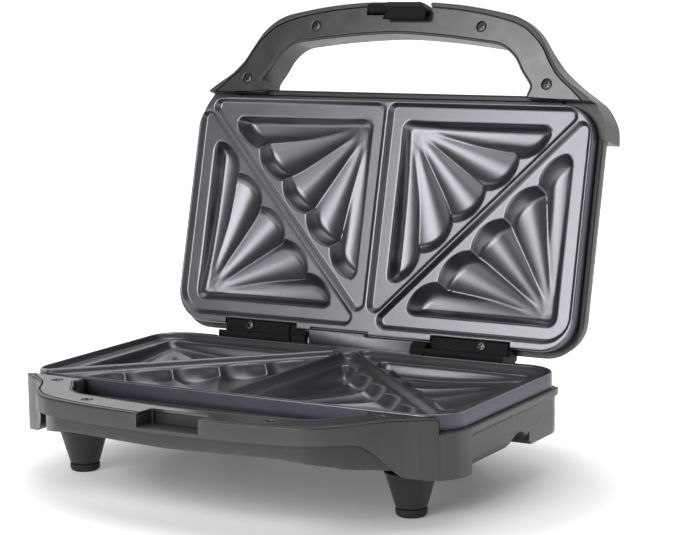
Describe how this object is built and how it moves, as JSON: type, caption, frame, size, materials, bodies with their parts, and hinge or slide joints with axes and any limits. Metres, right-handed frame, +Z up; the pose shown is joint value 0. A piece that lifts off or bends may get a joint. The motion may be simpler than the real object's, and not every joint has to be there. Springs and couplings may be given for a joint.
{
  "type": "sandwich toaster",
  "caption": "Two-slice sandwich toaster with a raised lid, scalloped three-cornered plates, arched carrying handles and a clip latch.",
  "frame": {"origin": "middle of the open toaster's footprint, on the surface that it stands on", "axes": "+Z up, -Y towards the user and the handles, +X to the user's right and along the hinge"},
  "size_m": [0.2886, 0.2941, 0.2711],
  "materials": {
    "housing_plastic": "dark grey, semi-matte",
    "black_plastic": "black, satin",
    "coated_plate": "dark non-stick coating on cast aluminium",
    "steel": "bright",
    "sheet": "mill finish sheet",
    "rubber": "matte",
    "red_lens": "clear red",
    "green_lens": "clear green"
  },
  "bodies": {
    "base": {"base_handle_cover": "housing_plastic", "base_handle_screw_front_left": "steel", "base_handle_screw_front_right": "steel", "base_handle_screw_rear_left": "steel", "base_handle_screw_rear_right": "steel", "base_housing": "housing_plastic", "cord_inlet": "black_plastic", "foot_front_left": "black_plastic", "foot_front_right": "black_plastic", "foot_pad_front_left": "rubber", "foot_pad_front_right": "rubber", "foot_pad_rear_left": "rubber", "foot_pad_rear_right": "rubber", "foot_rear_left": "black_plastic", "foot_rear_right": "black_plastic", "hinge_pin_left": "steel", "hinge_pin_right": "steel", "lower_element": "steel", "lower_plate": "coated_plate", "lower_reflector": "sheet", "terminal_block": "black_plastic", "thermal_fuse": "sheet", "thermostat": "black_plastic"},
    "lid": {"green_lamp": "black_plastic", "green_lens": "green_lens", "hinge_cover_left": "black_plastic", "hinge_cover_right": "black_plastic", "hinge_cover_screw_left": "steel", "hinge_cover_screw_right": "steel", "latch_pin": "steel", "latch_spring": "steel", "lid_handle_cover": "housing_plastic", "lid_handle_screw_front_left": "steel", "lid_handle_screw_front_right": "steel", "lid_handle_screw_rear_left": "steel", "lid_handle_screw_rear_right": "steel", "lid_housing": "housing_plastic", "red_lamp": "black_plastic", "red_lens": "red_lens", "upper_element": "steel", "upper_plate": "coated_plate", "upper_reflector": "sheet"},
    "clip": {"latch": "black_plastic"}
  },
  "joints": [
    {"name": "lid_hinge", "type": "hinge", "parent": "base", "child": "lid", "pos_m": [0, 0.0714, 0.0602], "axis": [1, 0, 0], "range_deg": [0, 104.4]},
    {"name": "latch_pivot", "type": "hinge", "parent": "lid", "child": "clip", "pos_m": [0, 0.13164, 0.26464], "axis": [1, 0, 0], "range_deg": [-18, 10], "stiffness_Nm_per_rad": 0.02}
  ]
}
